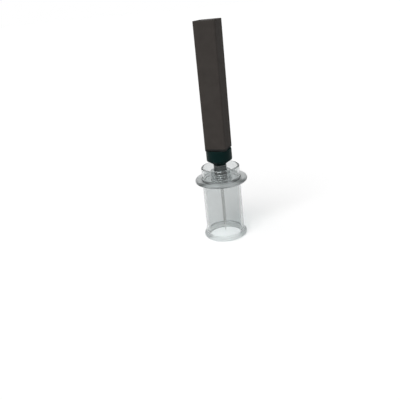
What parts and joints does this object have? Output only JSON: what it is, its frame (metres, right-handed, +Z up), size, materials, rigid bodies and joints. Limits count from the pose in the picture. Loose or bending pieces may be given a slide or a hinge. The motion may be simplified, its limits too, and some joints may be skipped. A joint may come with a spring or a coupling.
{
  "type": "air pump wine opener",
  "caption": "Upright air pump opener: square black handle sliding on a barrel, ball valve, hollow needle, and a clear flanged guard round the needle.",
  "frame": {"origin": "middle of the guard's foot, on the surface that the tool stands on", "axes": "+Z up the tool's axis to the top of the handle; the handle's flat faces are square to X and Y"},
  "size_m": [0.0504, 0.0504, 0.206],
  "materials": {
    "clear_plastic": "clear moulded plastic, faintly grey",
    "needle_steel": "polished stainless steel",
    "hub_metal": "dark grey turned metal with ring grooves",
    "ring_rubber": "black nitrile rubber",
    "collar_plastic": "satin greenish black",
    "seat_brass": "turned brass",
    "bright_steel": "bright zinc-plated steel",
    "barrel_aluminium": "drawn aluminium tube",
    "bush_plastic": "black guide plastic",
    "handle_plastic": "fine matte warm black",
    "cap_plastic": "fine matte warm black",
    "rod_steel": "ground steel rod",
    "core_plastic": "natural acetal"
  },
  "bodies": {
    "guard": {"needle_guard": "clear_plastic"},
    "pump": {"needle": "needle_steel", "needle_hub": "hub_metal", "grip_ring": "ring_rubber", "hub_seal": "ring_rubber", "end_cap": "collar_plastic", "valve_seat": "seat_brass", "valve_spring": "bright_steel", "barrel_seal": "ring_rubber", "pump_barrel": "barrel_aluminium", "gland_bush": "bush_plastic"},
    "valve": {"valve_ball": "bright_steel"},
    "handle": {"handle_sleeve": "handle_plastic", "top_cap": "cap_plastic", "cap_plug": "cap_plastic", "rod_screw": "bright_steel", "screw_washer": "bright_steel", "piston_rod": "rod_steel", "bump_ring": "ring_rubber", "sleeve_bush": "bush_plastic", "piston_core": "core_plastic", "piston_cup": "ring_rubber", "cup_washer": "bright_steel", "piston_nut": "bright_steel"}
  },
  "joints": [
    {"name": "pump_pull", "type": "slide", "parent": "guard", "child": "pump", "axis": [0, 0, 1], "range_m": [0, 0.07]},
    {"name": "pump_stroke", "type": "slide", "parent": "pump", "child": "handle", "axis": [0, 0, 1], "range_m": [0, 0.089]},
    {"name": "valve_lift", "type": "slide", "parent": "pump", "child": "valve", "axis": [0, 0, -1], "range_m": [0, 0.0012], "stiffness_N_per_m": 60, "springref_m": -0.001, "deforming": ["valve_spring"]}
  ]
}
